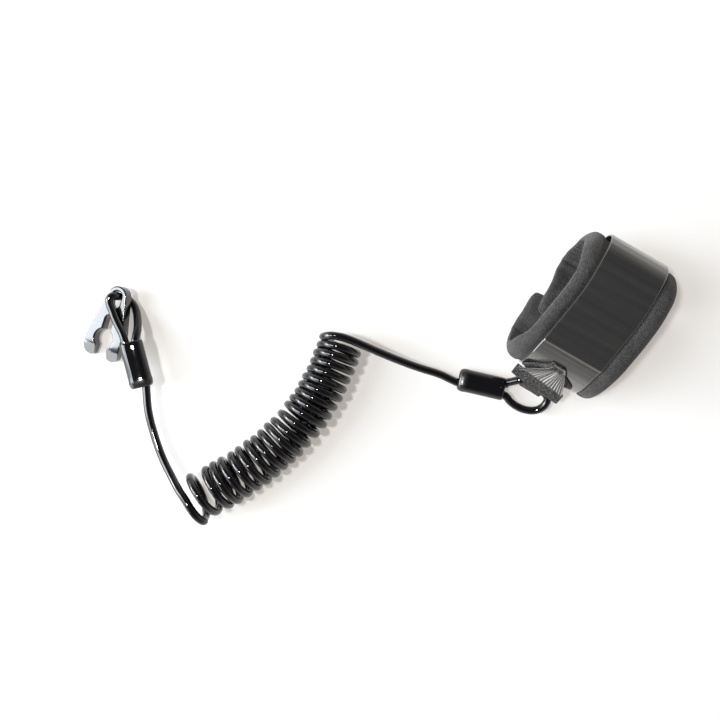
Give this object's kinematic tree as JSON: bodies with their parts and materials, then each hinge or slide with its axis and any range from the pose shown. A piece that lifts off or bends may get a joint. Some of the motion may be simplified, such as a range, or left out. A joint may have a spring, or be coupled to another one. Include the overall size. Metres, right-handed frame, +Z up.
{
  "type": "kill_switch_lanyard",
  "caption": "Engine kill switch lanyard: forked snap clip on a coiled safety cord that is looped to a padded wrist band with a strap.",
  "frame": {"origin": "flat underside of the wrist band, at the middle of its footprint", "axes": "+X along the axis of the wrist opening, away from the clip; +Y away from the webbing tab; +Z up"},
  "size_m": [0.3001, 0.274, 0.048],
  "materials": {
    "pad": "charcoal knit over foam",
    "strap": "satin nylon",
    "hook": "matte hook and loop tape",
    "webbing": "ribbed nylon webbing",
    "thread": "matte sewing thread",
    "cord": "gloss extruded jacket",
    "sleeve": "gloss moulded",
    "crimp": "black coated",
    "clip": "gloss moulded"
  },
  "bodies": {
    "wristband": {"wrist_pad": "pad", "wrist_strap": "strap", "hook_patch": "hook", "loop_patch": "hook", "webbing_tab": "webbing", "tab_stitching": "thread"},
    "cord": {"band_loop": "cord", "band_crimp": "crimp", "band_sleeve": "sleeve", "band_lead": "cord", "cord_coil": "cord", "clip_lead": "cord", "clip_loop": "cord", "clip_crimp": "crimp", "clip_sleeve": "sleeve"},
    "clip": {"switch_clip": "clip"}
  },
  "joints": [
    {"name": "cord_swing", "type": "hinge", "parent": "wristband", "child": "cord", "pos_m": [-0.006, -0.053, 0.013], "axis": [-1, 0, 0], "range_deg": [-60, 65]},
    {"name": "clip_swing", "type": "hinge", "parent": "cord", "child": "clip", "pos_m": [-0.2562, -0.1333, 0.0094], "axis": [0.1701, 0.1342, -0.9762], "range_deg": [0, 180]}
  ]
}
